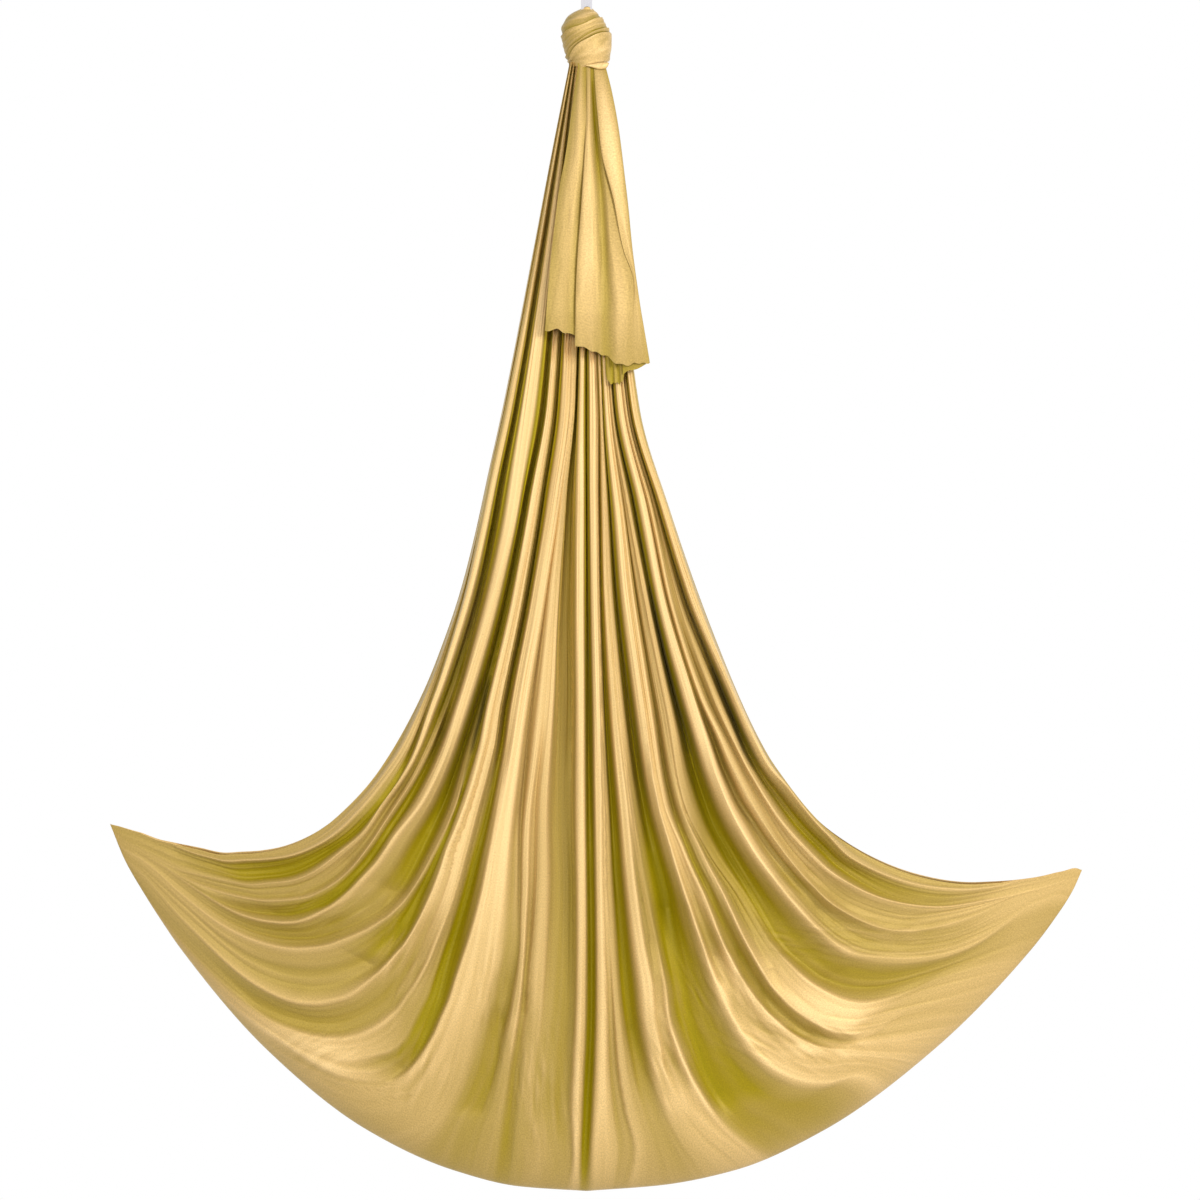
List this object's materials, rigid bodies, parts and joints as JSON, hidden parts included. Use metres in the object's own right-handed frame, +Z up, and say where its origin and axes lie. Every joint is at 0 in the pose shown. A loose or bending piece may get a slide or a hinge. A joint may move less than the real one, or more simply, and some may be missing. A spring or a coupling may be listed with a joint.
{
  "type": "aerial yoga hammock",
  "caption": "Folded sheet of stretch nylon gathered in a knot and hung as a pouch from a webbing sling, a locking carabiner and a ceiling swivel.",
  "frame": {"origin": "middle of the ceiling plate's top face, which lies against the ceiling", "axes": "+Z up, +X to the right along the spread cloth as the picture shows it, +Y to the back; the free ends of the cloth hang at the front, towards -Y"},
  "size_m": [1.7107, 0.1865, 2.3872],
  "materials": {
    "cloth": "satin gold nylon knit",
    "webbing": "matt white woven webbing",
    "steel": "zinc plated, satin",
    "bronze": "plain bearing bronze"
  },
  "bodies": {
    "ceiling": {"ceiling_plate": "steel", "swivel_housing": "steel", "thrust_washer": "bronze"},
    "swivel": {"swivel_eye": "steel", "stem_nut": "steel"},
    "carabiner": {"carabiner_body": "steel", "gate_pin": "steel"},
    "gate": {"carabiner_gate": "steel", "spring_plunger": "steel", "gate_spring": "steel"},
    "sleeve": {"lock_sleeve": "steel"},
    "hammock": {"sling_strap": "webbing", "strap_lap": "webbing", "bar_tack_1": "webbing", "bar_tack_2": "webbing", "bar_tack_3": "webbing", "knot_core": "cloth", "knot_crown": "cloth", "knot_wrap_upper": "cloth", "knot_wrap_middle": "cloth", "knot_wrap_lower": "cloth", "knot_tuck": "cloth", "front_leaf": "cloth", "back_leaf": "cloth"},
    "free_ends": {"front_tail": "cloth", "back_tail": "cloth"}
  },
  "joints": [
    {"name": "swivel_spin", "type": "hinge", "parent": "ceiling", "child": "swivel", "pos_m": [0, 0, -0.0366], "axis": [0, 0, 1], "continuous": true},
    {"name": "carabiner_swing", "type": "hinge", "parent": "swivel", "child": "carabiner", "pos_m": [0, 0, -0.0776], "axis": [0, 1, 0], "range_deg": [-30, 30]},
    {"name": "gate_hinge", "type": "hinge", "parent": "carabiner", "child": "gate", "pos_m": [0.026, 0, -0.148], "axis": [0, -1, 0], "range_deg": [0, 25], "stiffness_Nm_per_rad": 0.05, "springref_deg": -20.05},
    {"name": "sleeve_slide", "type": "slide", "parent": "gate", "child": "sleeve", "axis": [0, 0, 1], "range_m": [0, 0.008]},
    {"name": "hammock_swing", "type": "hinge", "parent": "carabiner", "child": "hammock", "pos_m": [0, 0, -0.1678], "axis": [1, 0, 0], "range_deg": [-45, 45]},
    {"name": "free_ends_lift", "type": "hinge", "parent": "hammock", "child": "free_ends", "pos_m": [0, -0.0341, -0.4078], "axis": [-1, 0, 0], "range_deg": [0, 60]}
  ]
}
